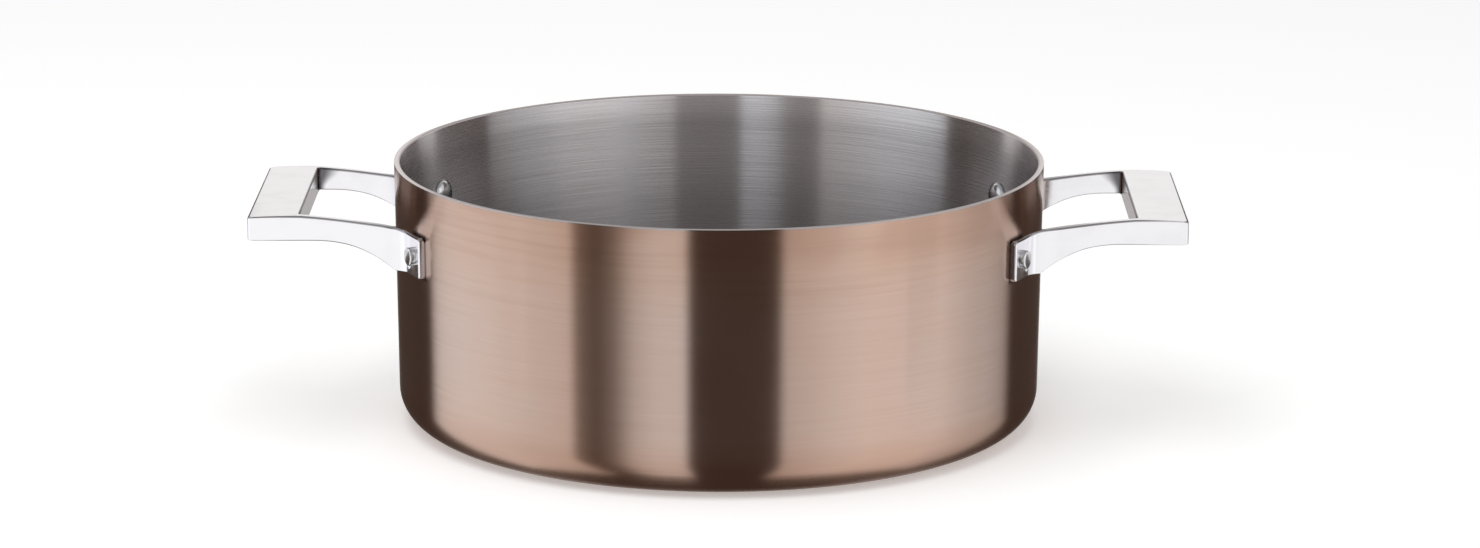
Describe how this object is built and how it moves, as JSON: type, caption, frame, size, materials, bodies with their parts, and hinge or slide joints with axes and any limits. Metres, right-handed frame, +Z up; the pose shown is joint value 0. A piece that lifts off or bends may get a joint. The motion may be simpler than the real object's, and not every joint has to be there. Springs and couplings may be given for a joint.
{
  "type": "shallow casserole pan",
  "caption": "Shallow round casserole pan of bonded copper, aluminium and steel plies, with riveted loop handles on opposite sides.",
  "frame": {"origin": "centre of the flat base, on the surface that the pan stands on", "axes": "+Z up through the open mouth, +X from the left handle to the right handle, -Y towards the front"},
  "size_m": [0.3452, 0.2426, 0.099],
  "materials": {
    "brushed_copper": "copper, brushed round the body, satin",
    "aluminium_core": "mill finish, hidden between the plies",
    "brushed_steel": "stainless steel, brushed inside, polished on the lip",
    "polished_cast_steel": "cast stainless steel, polished",
    "rivet_steel": "stainless steel, bright"
  },
  "bodies": {
    "root": {"copper_outer_shell": "brushed_copper", "aluminium_core": "aluminium_core", "steel_liner": "brushed_steel", "handle_left": "polished_cast_steel", "handle_right": "polished_cast_steel", "rivet_left_front": "rivet_steel", "rivet_left_rear": "rivet_steel", "rivet_right_front": "rivet_steel", "rivet_right_rear": "rivet_steel"}
  },
  "joints": []
}
